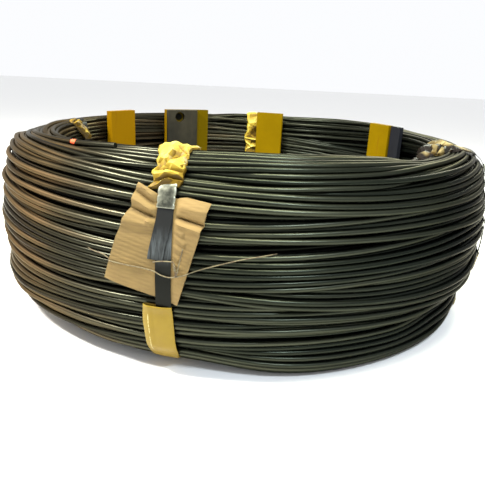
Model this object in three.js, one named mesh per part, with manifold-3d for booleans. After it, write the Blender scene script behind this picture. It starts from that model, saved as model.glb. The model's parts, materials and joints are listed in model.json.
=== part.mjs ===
// A strapped coil of steel wire rod, standing with its axis upright.
// Millimetres, +Z up. The origin is on the coil's axis, on the floor.
// Azimuths are degrees about +Z from +X, so 270 faces the -Y side, the front.
import * as THREE from 'three';
import { mergeVertices } from 'three/addons/utils/BufferGeometryUtils.js';
import Module from 'manifold-3d';

const wasm = await Module();
wasm.setup();
const { degToRad } = THREE.MathUtils;

// ---------- driving dimensions ----------
const GAP = 0.3; // clearance between pieces that touch

// the wound wire
const WIRE_DIAMETER = 12.5;
const TURN_SPACING = 1.06 * WIRE_DIAMETER; // loosely wound, so a little more than the wire
const COIL_OUTER_RADIUS = 700; // at the belly of the outside
const COIL_BORE_RADIUS = 540;
const COIL_TOP_HEIGHT = 450;
const COIL_FACETS = 36; // flats round the coil: the straps lie on the middle of one
const FOOT_TUCK = 28; // how far the round foot stands in from the belly
const SHOULDER_TUCK = 16; // and the shoulder
const FOOT_LEAN = 20; // degrees off upright where the foot meets the belly
const SHOULDER_LEAN = 12;
const BELLY_FULLNESS = 110; // length of the belly curve's handles
const SHOULDER_WIDTH = 100; // the rounded outer top edge, across
const SHOULDER_DROP = 82; // and down
const FOOT_CORNER = 46;
const BORE_TOP_CORNER = 24;
const BORE_FOOT_CORNER = 34;
const GROOVE_DEPTH = 0.36 * WIRE_DIAMETER; // hollow between two ribs
const BUNDLE_GROOVES = [ // hollows between the bundles of turns, outside
  { height: 70, depth: 14 },
  { height: 136, depth: 6 },
  { height: 208, depth: 14 },
  { height: 286, depth: 6 },
  { height: 360, depth: 14 },
];
const BUNDLE_GROOVE_REACH = 40; // half the height that a hollow takes
const END_RIB = 1; // turns drawn together as one rib on the top and the bottom
const OUTSIDE_RIB = 2;
const BORE_RIB = 3;

// straps, seals and sleeves
const STRAP_WIDTH = 32;
const STRAP_THICKNESS = 0.9;
const SLEEVE_WALL = 0.8;
const SLEEVE_WIDTH = 60;
const SLEEVE_TOP_HEIGHT = 174; // how high the lower sleeves reach
const SLEEVE_SLOT_WIDTH = STRAP_WIDTH + 1.4;
const SEAL_WIDTH = 36.5;
const SEAL_WALL = 1.3;
const SEAL_FOOT_HEIGHT = 362;
const SEAL_LENGTH = 42;
const SEAL_REACH = 22; // how far the strap's slot runs past each end of the seal
const TAIL_LENGTH = 94; // the strap's loose end, below the seal
const TAIL_LEAN = 8; // degrees off the strap
const FRONT_STRAP = 258;
const RIGHT_STRAP = 338;
const BACK_STRAP = 88;
const LEFT_STRAP = 168;

// bunched sleeves over the top
const BUNCH_WIDTH = 74;
const BUNCH_LOW = 2.4; // thickness over the strap in a crease
const BUNCH_HIGH = 11; // and on a fold
const BUNCH_BORE = 5; // folds on the bore wall

// cardboard tag under the front strap
const CARD_THICKNESS = 3;
const CARD_WIDTH = 156;
const CARD_HEIGHT = 214;
const CARD_LEAN = -15; // degrees, its top leaning to +X
const CARD_CENTRE = [-18, 297]; // across from the strap's middle, and height

const SLAB_MARGIN = 30; // how far a cutting slab runs past what it cuts

// thin tie wire across the front strap
const TIE_DIAMETER = 2.4;
const TIE_SIDES = 8;

// boards that stand in the bore
const BOARD_THICKNESS = 22;
const BOARD_HEIGHT = 463; // a little above the coil's top
const BAR_WIDTH = 120;
const BAR_THICKNESS = 16;
const BAR_HOLE_DIAMETER = 38;
const BAR_HOLE_HEIGHT = 437.5;
const BAR_OFFSET = 25; // its middle from the wide board's middle, towards +azimuth
const BAR_HOLE_OFFSET = 12; // and the hole's middle from the bar's
const BLACK_BAR_WIDTH = 52;
const BLACK_BAR_AZIMUTH = 18.1;

// the lowest wires lie on the sleeves, which lie on the floor
const COIL_FOOT = 3 * GAP + 2 * SLEEVE_WALL + STRAP_THICKNESS;
const FLAT_FACTOR = Math.cos(Math.PI / COIL_FACETS); // axis-to-flat over axis-to-corner

// ---------- materials ----------
const finish = (colour, roughness, metalness) =>
  new THREE.MeshStandardMaterial({ color: colour, roughness, metalness });
const wireSteel = finish(0x2a2b24, 0.38, 0.85);
const strapSteel = finish(0x23272f, 0.4, 0.7);
const yellowSleeve = finish(0xc9a546, 0.35, 0);
const kraftCard = finish(0xc59d62, 0.85, 0);
const yellowPaint = finish(0xa8860e, 0.45, 0.1);
const darkSteel = finish(0x2b2a20, 0.6, 0.6);
const blackSteel = finish(0x14151a, 0.6, 0.4);
const tieSteel = finish(0x6a5a48, 0.55, 0.6);

const part = new THREE.Group();

// ---------- solids ----------
function toSolid(geometry) {
  const bare = geometry.clone();
  bare.deleteAttribute('normal');
  bare.deleteAttribute('uv');
  const merged = mergeVertices(bare, 1e-3);
  return new wasm.Manifold(new wasm.Mesh({
    numProp: 3,
    vertProperties: new Float32Array(merged.attributes.position.array),
    triVerts: new Uint32Array(merged.index.array),
  }));
}

function toGeometry(solid) {
  const mesh = solid.getMesh();
  const geometry = new THREE.BufferGeometry();
  geometry.setAttribute('position', new THREE.BufferAttribute(new Float32Array(mesh.vertProperties), 3));
  geometry.setIndex(new THREE.BufferAttribute(new Uint32Array(mesh.triVerts), 1));
  return geometry;
}

function addPiece(name, geometry, material, azimuth = 0) {
  const mesh = new THREE.Mesh(geometry, material);
  mesh.name = name;
  mesh.rotation.z = degToRad(azimuth);
  part.add(mesh);
}

// ---------- the coil's section: x is the distance from the axis, y the height ----------
const footCentre = COIL_OUTER_RADIUS - FOOT_TUCK - FOOT_CORNER;
const shoulderCentre = COIL_OUTER_RADIUS - SHOULDER_TUCK - SHOULDER_WIDTH;

function lowerEnd() {
  const line = new THREE.Path();
  line.moveTo(COIL_BORE_RADIUS, COIL_FOOT + BORE_FOOT_CORNER);
  line.absellipse(COIL_BORE_RADIUS + BORE_FOOT_CORNER, COIL_FOOT + BORE_FOOT_CORNER,
    BORE_FOOT_CORNER, BORE_FOOT_CORNER, Math.PI, Math.PI * 1.5, false);
  line.lineTo(footCentre, COIL_FOOT);
  line.absellipse(footCentre, COIL_FOOT + FOOT_CORNER,
    FOOT_CORNER, FOOT_CORNER, -Math.PI / 2, degToRad(-FOOT_LEAN), false);
  return line;
}

function upperEnd() {
  const line = new THREE.Path();
  line.absellipse(shoulderCentre, COIL_TOP_HEIGHT - SHOULDER_DROP,
    SHOULDER_WIDTH, SHOULDER_DROP, degToRad(SHOULDER_LEAN), Math.PI / 2, false);
  line.lineTo(COIL_BORE_RADIUS + BORE_TOP_CORNER, COIL_TOP_HEIGHT);
  line.absellipse(COIL_BORE_RADIUS + BORE_TOP_CORNER, COIL_TOP_HEIGHT - BORE_TOP_CORNER,
    BORE_TOP_CORNER, BORE_TOP_CORNER, Math.PI / 2, Math.PI, false);
  return line;
}

// one curve from the foot's lean to the shoulder's, fullest in between
function outside() {
  const foot = lowerEnd().getPoint(1);
  const shoulder = upperEnd().getPoint(0);
  const rise = lowerEnd().getTangent(1).multiplyScalar(BELLY_FULLNESS).add(foot);
  const meet = upperEnd().getTangent(0).multiplyScalar(-BELLY_FULLNESS).add(shoulder);
  const line = new THREE.Path();
  line.moveTo(foot.x, foot.y);
  line.bezierCurveTo(rise.x, rise.y, meet.x, meet.y, shoulder.x, shoulder.y);
  return line;
}

function boreWall() {
  const line = new THREE.Path();
  line.moveTo(COIL_BORE_RADIUS, COIL_TOP_HEIGHT - BORE_TOP_CORNER);
  line.lineTo(COIL_BORE_RADIUS, COIL_FOOT + BORE_FOOT_CORNER);
  return line;
}

// points and outward normals along one stretch; the outline runs anticlockwise
function walk(line, steps) {
  const places = line.getSpacedPoints(steps);
  return places.map((place, i) => {
    const before = places[Math.max(i - 1, 0)];
    const after = places[Math.min(i + 1, steps)];
    const along = after.clone().sub(before).normalize();
    return { place, normal: new THREE.Vector2(along.y, -along.x) };
  });
}

const push = (spot, distance) => spot.place.clone().addScaledVector(spot.normal, distance);
const isOuterSide = (spot) => spot.place.x > (COIL_OUTER_RADIUS + COIL_BORE_RADIUS) / 2;

// how deep the hollows between the bundles are at a place on the outside
function bundleGroove(spot) {
  if (!isOuterSide(spot)) return 0;
  return BUNDLE_GROOVES.reduce((total, { height, depth }) => {
    const part = Math.min(Math.abs(spot.place.y - height) / BUNDLE_GROOVE_REACH, 1);
    return total + depth * (0.5 + 0.5 * Math.cos(Math.PI * part));
  }, 0);
}

// a stretch of turns side by side: every few turns show as one rib between two grooves
function ribbed(line, turnsPerRib, crestPoints) {
  const ribs = Math.round(line.getLength() / (turnsPerRib * TURN_SPACING));
  const stepsPerRib = crestPoints + 1;
  return walk(line, ribs * stepsPerRib).slice(0, -1)
    .map((spot, i) => push(spot, -bundleGroove(spot) - (i % stepsPerRib === 0 ? GROOVE_DEPTH : 0)));
}

// ---------- turned pieces ----------
// facet corners lie half a facet to each side of the straps
const facetAngle = 360 / COIL_FACETS;
const turnStart = degToRad((FRONT_STRAP + 90 + facetAngle / 2) % facetAngle);

function turned(outline) {
  const closed = [...outline, outline[0].clone()];
  const geometry = new THREE.LatheGeometry(closed, COIL_FACETS, turnStart, Math.PI * 2);
  geometry.rotateX(Math.PI / 2);
  return geometry;
}

function wireCoil() {
  const outline = [
    ...ribbed(lowerEnd(), END_RIB, 1),
    ...ribbed(outside(), OUTSIDE_RIB, 2),
    ...ribbed(upperEnd(), END_RIB, 2),
    ...ribbed(boreWall(), BORE_RIB, 1),
  ];
  return toGeometry(toSolid(turned(outline)));
}

addPiece('wire_coil', wireCoil(), wireSteel);

// ---------- what goes round the section ----------
const END_STEPS = 12; // straights of a strap over each end of the section
const SIDE_STEPS = 13; // and along each side
const CHORD_ROOM = 3.2; // keeps the straights clear of the round corners inside them

function sectionSpots() {
  const stretches = [[lowerEnd(), END_STEPS], [outside(), SIDE_STEPS], [upperEnd(), END_STEPS],
    [boreWall(), SIDE_STEPS]];
  const found = stretches.flatMap(([line, steps]) => walk(line, steps).slice(0, -1));
  return found.map((spot, i) => {
    const next = found[(i + 1) % found.length];
    const turn = Math.acos(Math.min(1, spot.normal.dot(next.normal)));
    const chord = spot.place.distanceTo(next.place);
    return { ...spot, room: CHORD_ROOM * (chord / 2) * Math.tan(turn / 4) };
  });
}
const spots = sectionSpots();

// the same section where it is cut through the middle of a flat
function atFlat(spot, distance) {
  const moved = spot.place.clone();
  moved.x *= FLAT_FACTOR;
  moved.addScaledVector(spot.normal, distance + spot.room);
  moved.x = Math.max(moved.x, COIL_BORE_RADIUS * FLAT_FACTOR - distance);
  moved.y = THREE.MathUtils.clamp(moved.y, COIL_FOOT - distance, COIL_TOP_HEIGHT + distance);
  return moved;
}

// extrudes an outline in the (distance, height) plane to a width across the strap
function band(points, width, holes = []) {
  const shape = new THREE.Shape(points);
  holes.forEach((hole) => shape.holes.push(new THREE.Path(hole)));
  const geometry = new THREE.ExtrudeGeometry(shape, { depth: width, bevelEnabled: false });
  geometry.translate(0, 0, -width / 2);
  geometry.rotateX(Math.PI / 2);
  return geometry;
}

// a layer that follows some of the section between two distances off the wires
function layer(chosen, width, inner, outer) {
  const inside = chosen.map((spot, i) => atFlat(spot, inner(spot, i)));
  const outsideLine = chosen.map((spot, i) => atFlat(spot, outer(spot, i)));
  return band([...inside, ...outsideLine.reverse()], width);
}

const smooth = (value, from, to) => THREE.MathUtils.smoothstep(value, from, to);

// how far the strap's inner face stands off the wires: over a sleeve's wall, or over the tag
function strapLift(hasCard) {
  const overSleeve = 2 * GAP + SLEEVE_WALL;
  const overCard = 2 * GAP + CARD_THICKNESS;
  return (spot) => {
    if (!hasCard || !isOuterSide(spot)) return overSleeve;
    const height = spot.place.y;
    const onCard = smooth(height, 120, 176) * (1 - smooth(height, 412, 432));
    return overSleeve + (overCard - overSleeve) * onCard;
  };
}

function strapLoop(lift) {
  const inner = spots.map((spot) => atFlat(spot, lift(spot)));
  const outer = spots.map((spot) => atFlat(spot, lift(spot) + STRAP_THICKNESS));
  return band(outer, STRAP_WIDTH, [inner]);
}

// the loose end that comes out of the seal and leans off the strap
function strapTail(lift) {
  const chosen = outerStretch(SEAL_FOOT_HEIGHT - TAIL_LENGTH, SEAL_FOOT_HEIGHT - SEAL_REACH);
  const sink = 0.1;
  const tail = layer(chosen, STRAP_WIDTH, (spot) => lift(spot) + STRAP_THICKNESS - sink,
    (spot) => lift(spot) + 2 * STRAP_THICKNESS);
  tail.translate(0, 0, -SEAL_FOOT_HEIGHT);
  tail.rotateX(degToRad(-TAIL_LEAN));
  tail.translate(0, 0, SEAL_FOOT_HEIGHT);
  return tail;
}

// a folded steel clip over the strap and down past its two edges
function seal(lift) {
  const head = SEAL_FOOT_HEIGHT + SEAL_LENGTH;
  const chosen = outerStretch(SEAL_FOOT_HEIGHT, head);
  const longer = outerStretch(SEAL_FOOT_HEIGHT - SEAL_REACH, head + SEAL_REACH);
  const roof = (spot) => lift(spot) + STRAP_THICKNESS + GAP;
  const block = layer(chosen, SEAL_WIDTH, lift, (spot) => roof(spot) + SEAL_WALL);
  const slot = layer(longer, STRAP_WIDTH + 2 * GAP, (spot) => lift(spot) - 1, roof);
  return toGeometry(toSolid(block).subtract(toSolid(slot)));
}

const count = spots.length;
const ring = (from, to) => Array.from({ length: ((to - from + count) % count) + 1 },
  (_, i) => spots[(from + i + count) % count]);
const nearest = (x, y) => spots.reduce((best, spot, i) =>
  (spot.place.distanceTo(new THREE.Vector2(x, y))
    < spots[best].place.distanceTo(new THREE.Vector2(x, y)) ? i : best), 0);
const outerStretch = (from, to) => ring(nearest(COIL_OUTER_RADIUS, from), nearest(COIL_OUTER_RADIUS, to));

// a flat sleeve round the strap: a hollow band that the strap runs through
function sleeve(from, to, width, lift, proud) {
  const strapTop = (spot) => lift(spot) + STRAP_THICKNESS + GAP;
  const film = layer(ring(from, to), width, (spot) => lift(spot) - GAP - SLEEVE_WALL,
    (spot, i) => strapTop(spot) + proud(spot, i));
  const slot = layer(ring(from - 1, to + 1), SLEEVE_SLOT_WIDTH, (spot) => lift(spot) - GAP, strapTop);
  return toGeometry(toSolid(film).subtract(toSolid(slot)));
}

// bunched plastic: folds across the strap, flatter in the bore, where a board may press on them
const bunched = (spot, i) => {
  const peak = isOuterSide(spot) || spot.place.y > COIL_TOP_HEIGHT - 1 ? BUNCH_HIGH : BUNCH_BORE;
  return i % 2 === 0 ? BUNCH_LOW : peak;
};

// each bunched sleeve runs from its start (distance, height) over the top and down to its bore height
const STRAPS = [
  { side: 'front', azimuth: FRONT_STRAP, hasCard: true, start: [COIL_OUTER_RADIUS, 428], bore: 410 },
  { side: 'right', azimuth: RIGHT_STRAP, hasCard: false, start: [COIL_OUTER_RADIUS, 412], bore: 396 },
  { side: 'back', azimuth: BACK_STRAP, hasCard: false, start: [COIL_OUTER_RADIUS, 412], bore: 300 },
  { side: 'left', azimuth: LEFT_STRAP, hasCard: false, start: [580, COIL_TOP_HEIGHT], bore: 386 },
];

STRAPS.forEach(({ side, azimuth, hasCard, start, bore }) => {
  const lift = strapLift(hasCard);
  const strap = toSolid(strapLoop(lift)).add(toSolid(strapTail(lift)));
  addPiece(`strap_${side}`, toGeometry(strap), strapSteel, azimuth);
  addPiece(`seal_${side}`, seal(lift), strapSteel, azimuth);
  const low = sleeve(nearest(COIL_BORE_RADIUS, SLEEVE_TOP_HEIGHT),
    nearest(COIL_OUTER_RADIUS, SLEEVE_TOP_HEIGHT), SLEEVE_WIDTH, lift, () => SLEEVE_WALL);
  addPiece(`sleeve_low_${side}`, low, yellowSleeve, azimuth);
  const top = sleeve(nearest(...start), nearest(COIL_BORE_RADIUS, bore),
    BUNCH_WIDTH, lift, bunched);
  addPiece(`sleeve_top_${side}`, top, yellowSleeve, azimuth);
});

// ---------- sheets that hug the coil ----------
// a slab with an outline across (x) and up (y), reaching out along +X from the axis
function outwardSlab(outline, azimuth) {
  const geometry = new THREE.ExtrudeGeometry(new THREE.Shape(outline),
    { depth: COIL_OUTER_RADIUS - COIL_BORE_RADIUS + 2 * SLAB_MARGIN, bevelEnabled: false });
  geometry.translate(0, 0, COIL_BORE_RADIUS - SLAB_MARGIN);
  geometry.applyMatrix4(new THREE.Matrix4().makeBasis(new THREE.Vector3(0, 1, 0),
    new THREE.Vector3(0, 0, 1), new THREE.Vector3(1, 0, 0)));
  geometry.rotateZ(degToRad(azimuth));
  return toSolid(geometry);
}

// a turned skin over a stretch of the section
function skin(chosen, inner, thickness) {
  const inside = chosen.map((spot) => push(spot, inner + spot.room));
  const outsideLine = chosen.map((spot) => push(spot, inner + thickness + spot.room));
  return toSolid(turned([...outsideLine, ...inside.reverse()]));
}

function cardTag() {
  const corners = [[-0.5, -0.5], [0.5, -0.5], [0.5, 0.42], [0.1, 0.36], [-0.36, 0.5], [-0.5, 0.36]];
  const lean = degToRad(CARD_LEAN);
  const outline = corners.map(([across, up]) =>
    new THREE.Vector2(across * CARD_WIDTH, up * CARD_HEIGHT)
      .rotateAround(new THREE.Vector2(), lean)
      .add(new THREE.Vector2(...CARD_CENTRE)));
  return toGeometry(skin(outerStretch(150, 436), GAP, CARD_THICKNESS)
    .intersect(outwardSlab(outline, FRONT_STRAP)));
}
addPiece('cardboard_tag', cardTag(), kraftCard);

// ---------- tie wire ----------
// stops along it: degrees from the front strap, height, and how far it stands off the wires
const TIE_STOPS = [
  [-13.6, 272, 0], [-11.4, 262, 4], [-9, 252, 6], [-6, 243, 7], [-3.2, 238, 8], [-1, 236, 9],
  [1, 237, 9], [2.6, 240, 8], [4.4, 248, 5], [7, 260, 3], [10, 272, 2], [13, 281, 1], [15.2, 286, 0],
];
function tieWire() {
  const stops = TIE_STOPS.map(([turn, height, off]) => {
    const angle = degToRad(FRONT_STRAP + turn);
    const distance = COIL_OUTER_RADIUS + GAP + TIE_DIAMETER / 2 + 1 + off;
    return new THREE.Vector3(distance * Math.cos(angle), distance * Math.sin(angle), height);
  });
  const section = new THREE.Shape(new THREE.EllipseCurve(0, 0, TIE_DIAMETER / 2, TIE_DIAMETER / 2)
    .getPoints(TIE_SIDES).slice(0, -1));
  return new THREE.ExtrudeGeometry(section, {
    steps: 2 * stops.length, extrudePath: new THREE.CatmullRomCurve3(stops), bevelEnabled: false,
  });
}
addPiece('tie_wire', tieWire(), tieSteel);

// ---------- boards that stand on the floor in the bore ----------
function upright(width, thickness, height) {
  const chamfer = 2;
  const x = thickness / 2;
  const y = width / 2;
  const plan = new THREE.Shape([
    [x - chamfer, -y], [x, -y + chamfer], [x, y - chamfer], [x - chamfer, y],
    [-x + chamfer, y], [-x, y - chamfer], [-x, -y + chamfer], [-x + chamfer, -y],
  ].map(([px, py]) => new THREE.Vector2(px, py)));
  return new THREE.ExtrudeGeometry(plan, { depth: height, bevelEnabled: false });
}

// the distance from the axis at which a flat back of this width just clears the bore's flats
const clearOfBore = (width) => Math.sqrt((COIL_BORE_RADIUS * FLAT_FACTOR) ** 2 - (width / 2) ** 2) - GAP;

const BOARDS = [
  { name: 'yellow_board_left', azimuth: 148.8, width: 120, back: clearOfBore(120) },
  { name: 'yellow_board_wide', azimuth: 117.2, width: 174, back: clearOfBore(174) },
  { name: 'yellow_board_back', azimuth: 79.9, width: 102, back: 525 },
  { name: 'yellow_board_right', azimuth: 26.9, width: 98, back: clearOfBore(98) },
];
BOARDS.forEach(({ name, azimuth, width, back }) => {
  const board = upright(width, BOARD_THICKNESS, BOARD_HEIGHT);
  board.translate(back - BOARD_THICKNESS / 2, 0, 0);
  addPiece(name, board, yellowPaint, azimuth);
});

const blackBar = upright(BLACK_BAR_WIDTH, BAR_THICKNESS, BOARD_HEIGHT);
blackBar.translate(clearOfBore(BLACK_BAR_WIDTH) - BAR_THICKNESS / 2, 0, 0);
addPiece('black_bar', blackBar, blackSteel, BLACK_BAR_AZIMUTH);

// the dark bar stands flat against the wide board's face, with its hole near the top
function holedBar() {
  const board = BOARDS[1];
  const bar = upright(BAR_WIDTH, BAR_THICKNESS, BOARD_HEIGHT);
  const radius = BAR_HOLE_DIAMETER / 2;
  const drill = new THREE.CylinderGeometry(radius, radius, 3 * BAR_THICKNESS, 16);
  drill.rotateZ(Math.PI / 2);
  drill.translate(0, BAR_HOLE_OFFSET, BAR_HOLE_HEIGHT);
  const drilled = toGeometry(toSolid(bar).subtract(toSolid(drill)));
  drilled.translate(board.back - BOARD_THICKNESS - GAP - BAR_THICKNESS / 2, BAR_OFFSET, 0);
  return drilled;
}
addPiece('holed_bar', holedBar(), darkSteel, BOARDS[1].azimuth);

export default part;
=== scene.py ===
import json
import math

import bpy
import numpy as np
from mathutils import Matrix, Vector


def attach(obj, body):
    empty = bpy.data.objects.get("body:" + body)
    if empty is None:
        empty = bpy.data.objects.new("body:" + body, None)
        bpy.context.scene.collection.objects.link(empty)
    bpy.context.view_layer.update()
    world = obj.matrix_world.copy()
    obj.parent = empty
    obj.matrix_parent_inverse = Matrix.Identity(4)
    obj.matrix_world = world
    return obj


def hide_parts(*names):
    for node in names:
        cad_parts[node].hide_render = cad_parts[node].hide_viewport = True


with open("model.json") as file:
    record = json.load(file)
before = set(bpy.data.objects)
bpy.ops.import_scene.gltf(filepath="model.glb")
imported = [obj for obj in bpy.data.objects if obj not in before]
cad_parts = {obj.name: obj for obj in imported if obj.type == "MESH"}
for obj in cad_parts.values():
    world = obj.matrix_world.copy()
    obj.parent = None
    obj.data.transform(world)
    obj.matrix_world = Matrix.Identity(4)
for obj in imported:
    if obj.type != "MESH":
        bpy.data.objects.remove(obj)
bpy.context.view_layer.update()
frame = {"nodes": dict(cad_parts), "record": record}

# A strapped coil of steel wire rod. Metres, +Z up, the coil's axis on Z.
# Azimuths are degrees about +Z from +X, so 270 faces the front.
MM = 0.001
SIDES = {"front": 258, "right": 338, "back": 88, "left": 168}  # azimuths of the straps


# ---------- the coil's section, as distance from the axis and height ----------
# the driving sizes of the turned coil, in millimetres
BORE, TOP, FOOT = 540, 450, 3.4
FOOT_REACH, SHOULDER_REACH = 672, 684  # how far out the rounds at its foot and its shoulder end
FOOT_ROUND, BORE_FOOT_ROUND, BORE_TOP_ROUND = 46, 34, 24
SHOULDER_ROUND = (100, 82)  # across and down
FOOT_LEAN, SHOULDER_LEAN = 20, 12  # degrees off upright where the belly meets them
BELLY_FULLNESS = 110
FLAT = math.cos(math.pi / 36)  # the straps lie on flats of the turned coil
OUTER_FACE = 0.64  # whatever is further from the axis belongs to the outer face


def arc(centre, radii, start, stop, count):
    """Points on an arc. Two radii make it part of an ellipse."""
    turn = np.radians(np.linspace(start, stop, count))
    across, up = np.broadcast_to(radii, 2)
    return np.stack([centre[0] + across * np.cos(turn), centre[1] + up * np.sin(turn)], 1)


def heading(degrees):
    return np.array([math.cos(math.radians(degrees)), math.sin(math.radians(degrees))])


def bezier(start, rise, meet, end, count):
    t = np.linspace(0, 1, count)[:, None]
    return (1 - t) ** 3 * start + 3 * t * (1 - t) ** 2 * rise + 3 * t * t * (1 - t) * meet + t ** 3 * end


def coil_outline():
    """Anticlockwise from the bore's foot: underneath, up the belly, over the top, down the bore."""
    wide, deep = SHOULDER_ROUND
    foot = arc((FOOT_REACH - FOOT_ROUND, FOOT + FOOT_ROUND), FOOT_ROUND, -90, -FOOT_LEAN, 16)
    shoulder = arc((SHOULDER_REACH - wide, TOP - deep), SHOULDER_ROUND, SHOULDER_LEAN, 90, 24)
    bore_foot = arc((BORE + BORE_FOOT_ROUND, FOOT + BORE_FOOT_ROUND), BORE_FOOT_ROUND, 180, 270, 12)
    bore_top = arc((BORE + BORE_TOP_ROUND, TOP - BORE_TOP_ROUND), BORE_TOP_ROUND, 90, 180, 10)
    onward = shoulder[1] - shoulder[0]
    onward /= np.hypot(*onward)
    rise = foot[-1] + BELLY_FULLNESS * heading(90 - FOOT_LEAN)
    belly = bezier(foot[-1], rise, shoulder[0] - BELLY_FULLNESS * onward, shoulder[0], 26)
    outline = np.concatenate([bore_foot, foot, belly[1:-1], shoulder, bore_top]) * MM
    outline[:, 0] *= FLAT
    return outline


class Section:
    """A closed outline that is asked for places by distance along it and depth inside it."""

    def __init__(self, outline, count):
        closed = np.vstack([outline, outline[:1]])
        travelled = np.concatenate([[0], np.cumsum(np.hypot(*np.diff(closed, axis=0).T))])
        self.length = travelled[-1]
        self.count = count
        steps = np.linspace(0, self.length, count, endpoint=False)
        self.points = np.stack([np.interp(steps, travelled, closed[:, i]) for i in (0, 1)], 1)
        ahead = np.roll(self.points, -2, 0) - np.roll(self.points, 2, 0)
        ahead /= np.hypot(*ahead.T)[:, None]
        self.normals = np.stack([ahead[:, 1], -ahead[:, 0]], 1)

    def at(self, along, depth=0.0):
        place = np.asarray(along) / self.length * self.count
        low = np.floor(place).astype(int)
        part = (place - low)[..., None]
        before, after = low % self.count, (low + 1) % self.count
        normal = self.normals[before] * (1 - part) + self.normals[after] * part
        point = self.points[before] * (1 - part) + self.points[after] * part
        return point - normal * np.asarray(depth)[..., None]

    def outside_at(self, height):
        """How far along the outline its outer face reaches a height in millimetres."""
        outer = np.nonzero(self.points[:, 0] > OUTER_FACE)[0]
        reached = outer / self.count * self.length
        return np.interp(np.asarray(height) * MM, self.points[outer, 1], reached)

    def nearest(self, distance, height):
        """How far along the outline its place nearest to this one is. Both are in millimetres."""
        off = self.points - np.array([distance, height]) * MM
        return np.argmin(np.hypot(*off.T)) / self.count * self.length


section = Section(coil_outline(), 1200)

# Where the winding is pushed in: azimuth, half its span, (distance, height), half its reach and
# depth in millimetres. Less than nothing pushes it out.
DENTS = [
    (190, 62, (580, 450), 95, 9), (186, 34, (634, 437), 50, 7), (168, 34, (655, 430), 66, 9),
    (192, 26, (692, 352), 28, 11), (186, 34, (698, 300), 60, -6), (206, 22, (672, 405), 55, -2),
    (266, 44, (565, 450), 62, -9), (240, 46, (640, 5), 85, 18), (205, 30, (684, 30), 40, 7),
    (206, 30, (692, 95), 50, -9), (332, 32, (690, 75), 60, 19), (322, 27, (644, 433), 44, -7),
    (322, 22, (560, 447), 60, 14), (4, 30, (590, 450), 90, 9), (288, 36, (575, 450), 62, -5),
]


def smoothstep(value, low, high):
    part = np.clip((value - low) / (high - low), 0, 1)
    return part * part * (3 - 2 * part)


def degrees_between(azimuth, other):
    return np.abs((azimuth - other + 180) % 360 - 180)


def pushed_in(azimuth, along):
    """How far the dents push the turns in at an azimuth and a place along the section, in metres."""
    depth = 0.0
    for centre, span, (distance, height), reach, deepest in DENTS:
        off = degrees_between(azimuth, centre)
        aside = np.abs((along - section.nearest(distance, height)) / MM)
        aside = np.minimum(aside, section.length / MM - aside)
        part = (1 - smoothstep(off, 0.4 * span, span)) * (1 - smoothstep(aside, 0.3 * reach, reach))
        depth = depth + deepest * MM * part
    return depth


def in_space(section_points, azimuth, across=0.0):
    """Turns (distance, height) points to an azimuth, moved sideways along the coil by across."""
    turn = np.radians(azimuth)
    distance, height = section_points[..., 0], section_points[..., 1]
    x = distance * np.cos(turn) - across * np.sin(turn)
    y = distance * np.sin(turn) + across * np.cos(turn)
    return np.stack(np.broadcast_arrays(x, y, height), -1)


# ---------- camera and lights ----------
CAMERA_PLACE = (0, -1.59982, 0.615265)
CAMERA_TIP, CAMERA_ROLL = 71.668, 2.8408  # degrees up from straight down, and about its own axis
LENS, SENSOR_WIDTH, LENS_SHIFT = 38.227, 36, 0.0027
LIGHT_FOOT, LIGHT_AIM = 0.2, 0.25  # heights that lights are placed from and turned to
SKY_COLOUR, SKY_STRENGTH = (0.97, 0.98, 1.0, 1), 1.0


def set_camera():
    data = bpy.data.cameras.new("camera")
    camera = bpy.data.objects.new("camera", data)
    bpy.context.collection.objects.link(camera)
    tip = Matrix.Rotation(math.radians(CAMERA_TIP), 4, "X")
    roll = Matrix.Rotation(math.radians(CAMERA_ROLL), 4, "Z")
    camera.matrix_world = Matrix.Translation(CAMERA_PLACE) @ tip @ roll
    data.sensor_width = SENSOR_WIDTH
    data.lens = LENS
    data.shift_x = LENS_SHIFT
    data.clip_start = 0.01
    bpy.context.scene.camera = camera


def add_light(name, azimuth, elevation, distance, size, power, colour):
    data = bpy.data.lights.new(name, "AREA")
    data.shape = "RECTANGLE"
    data.size, data.size_y = size
    data.energy = power
    data.color = colour
    light = bpy.data.objects.new(name, data)
    bpy.context.collection.objects.link(light)
    out = Vector((math.cos(math.radians(azimuth)), math.sin(math.radians(azimuth)), 0))
    high = math.radians(elevation)
    place = out * math.cos(high) * distance + Vector((0, 0, math.sin(high) * distance + LIGHT_FOOT))
    light.location = place
    light.rotation_euler = (place - Vector((0, 0, LIGHT_AIM))).to_track_quat("Z", "Y").to_euler()


def set_lights():
    """Soft boxes by azimuth, elevation, distance, size, power and colour, and an even pale sky."""
    add_light("key_light", 208, 46, 2.6, (0.3, 0.3), 125, (1.0, 0.96, 0.90))
    add_light("overhead_light", 264, 68, 2.4, (1.5, 0.35), 108, (1.0, 0.97, 0.72))
    add_light("back_light", 58, 34, 2.6, (1.8, 0.6), 90, (0.94, 1.0, 0.80))
    add_light("cool_light", 292, 44, 2.8, (0.35, 0.35), 44, (0.80, 0.90, 1.0))
    add_light("warm_side_light", 176, 22, 2.4, (1.2, 0.8), 13, (1.0, 0.80, 0.54))
    world = bpy.data.worlds.new("studio")
    bpy.context.scene.world = world
    bpy.context.scene.view_settings.view_transform = "Standard"
    world.use_nodes = True
    sky = world.node_tree.nodes["Background"]
    sky.inputs["Color"].default_value = SKY_COLOUR
    sky.inputs["Strength"].default_value = SKY_STRENGTH


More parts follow.
